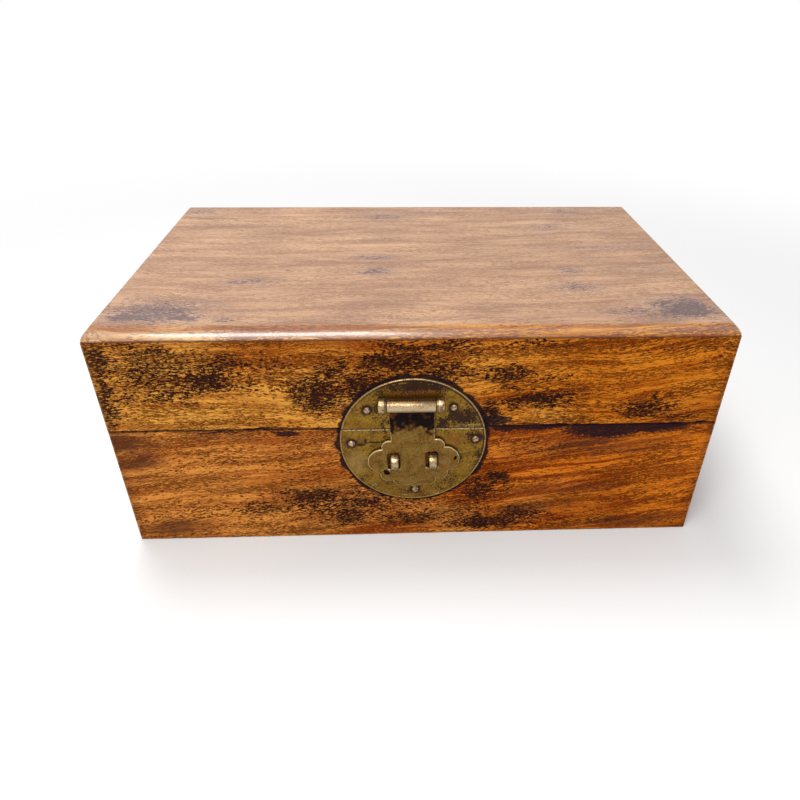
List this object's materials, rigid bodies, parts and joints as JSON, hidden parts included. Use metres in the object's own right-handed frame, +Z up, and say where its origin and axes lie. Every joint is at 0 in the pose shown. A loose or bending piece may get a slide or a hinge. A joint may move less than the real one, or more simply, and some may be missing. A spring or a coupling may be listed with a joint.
{
  "type": "wooden box",
  "caption": "Rectangular hardwood box with a hinged lid, a round two-part brass lock plate, and a lobed hasp that drops over staples for a padlock.",
  "frame": {"origin": "middle of the underside of the base, where the box stands", "axes": "+X to the right along the front, +Y from the front to the hinged back, +Z up"},
  "size_m": [0.36, 0.2489, 0.1457],
  "materials": {
    "lid_wood": "golden brown hardwood under worn, polished lacquer with dark remains",
    "base_wood": "reddish brown hardwood under worn, polished lacquer with dark remains",
    "top_wood": "tan hardwood with fine dark grain and a satin sheen",
    "bottom_wood": "plain, dry and dusty",
    "plate_brass": "olive brown patina, rubbed edges",
    "bright_brass": "rubbed bright, dark in the corners"
  },
  "bodies": {
    "base": {"base_front_board": "base_wood", "base_right_board": "base_wood", "base_back_board": "base_wood", "base_left_board": "base_wood", "base_bottom_panel": "bottom_wood", "lock_plate_lower": "plate_brass", "staple_left": "bright_brass", "staple_right": "bright_brass", "plate_nail_lower_left": "bright_brass", "plate_nail_lower_right": "bright_brass", "plate_nail_bottom": "bright_brass", "hinge_left_lower_leaf": "plate_brass", "hinge_left_pin": "bright_brass", "hinge_left_lower_nail_1": "bright_brass", "hinge_left_lower_nail_2": "bright_brass", "hinge_right_lower_leaf": "plate_brass", "hinge_right_pin": "bright_brass", "hinge_right_lower_nail_1": "bright_brass", "hinge_right_lower_nail_2": "bright_brass"},
    "lid": {"lid_front_board": "lid_wood", "lid_right_board": "lid_wood", "lid_back_board": "lid_wood", "lid_left_board": "lid_wood", "lid_top_panel": "top_wood", "lock_plate_upper": "plate_brass", "knuckle_eye_left": "bright_brass", "knuckle_eye_right": "bright_brass", "hasp_pin": "bright_brass", "plate_nail_upper_left": "bright_brass", "plate_nail_upper_right": "bright_brass", "hinge_left_upper_leaf": "plate_brass", "hinge_left_upper_nail_1": "bright_brass", "hinge_left_upper_nail_2": "bright_brass", "hinge_right_upper_leaf": "plate_brass", "hinge_right_upper_nail_1": "bright_brass", "hinge_right_upper_nail_2": "bright_brass"},
    "hasp": {"hasp": "plate_brass"}
  },
  "joints": [
    {"name": "lid_hinge", "type": "hinge", "parent": "base", "child": "lid", "pos_m": [0, 0.115, 0.08495], "axis": [-1, 0, 0], "range_deg": [0, 98]},
    {"name": "hasp_hinge", "type": "hinge", "parent": "lid", "child": "hasp", "pos_m": [-0.0039, -0.1246, 0.1039], "axis": [-1, 0, 0], "range_deg": [0, 180]}
  ]
}
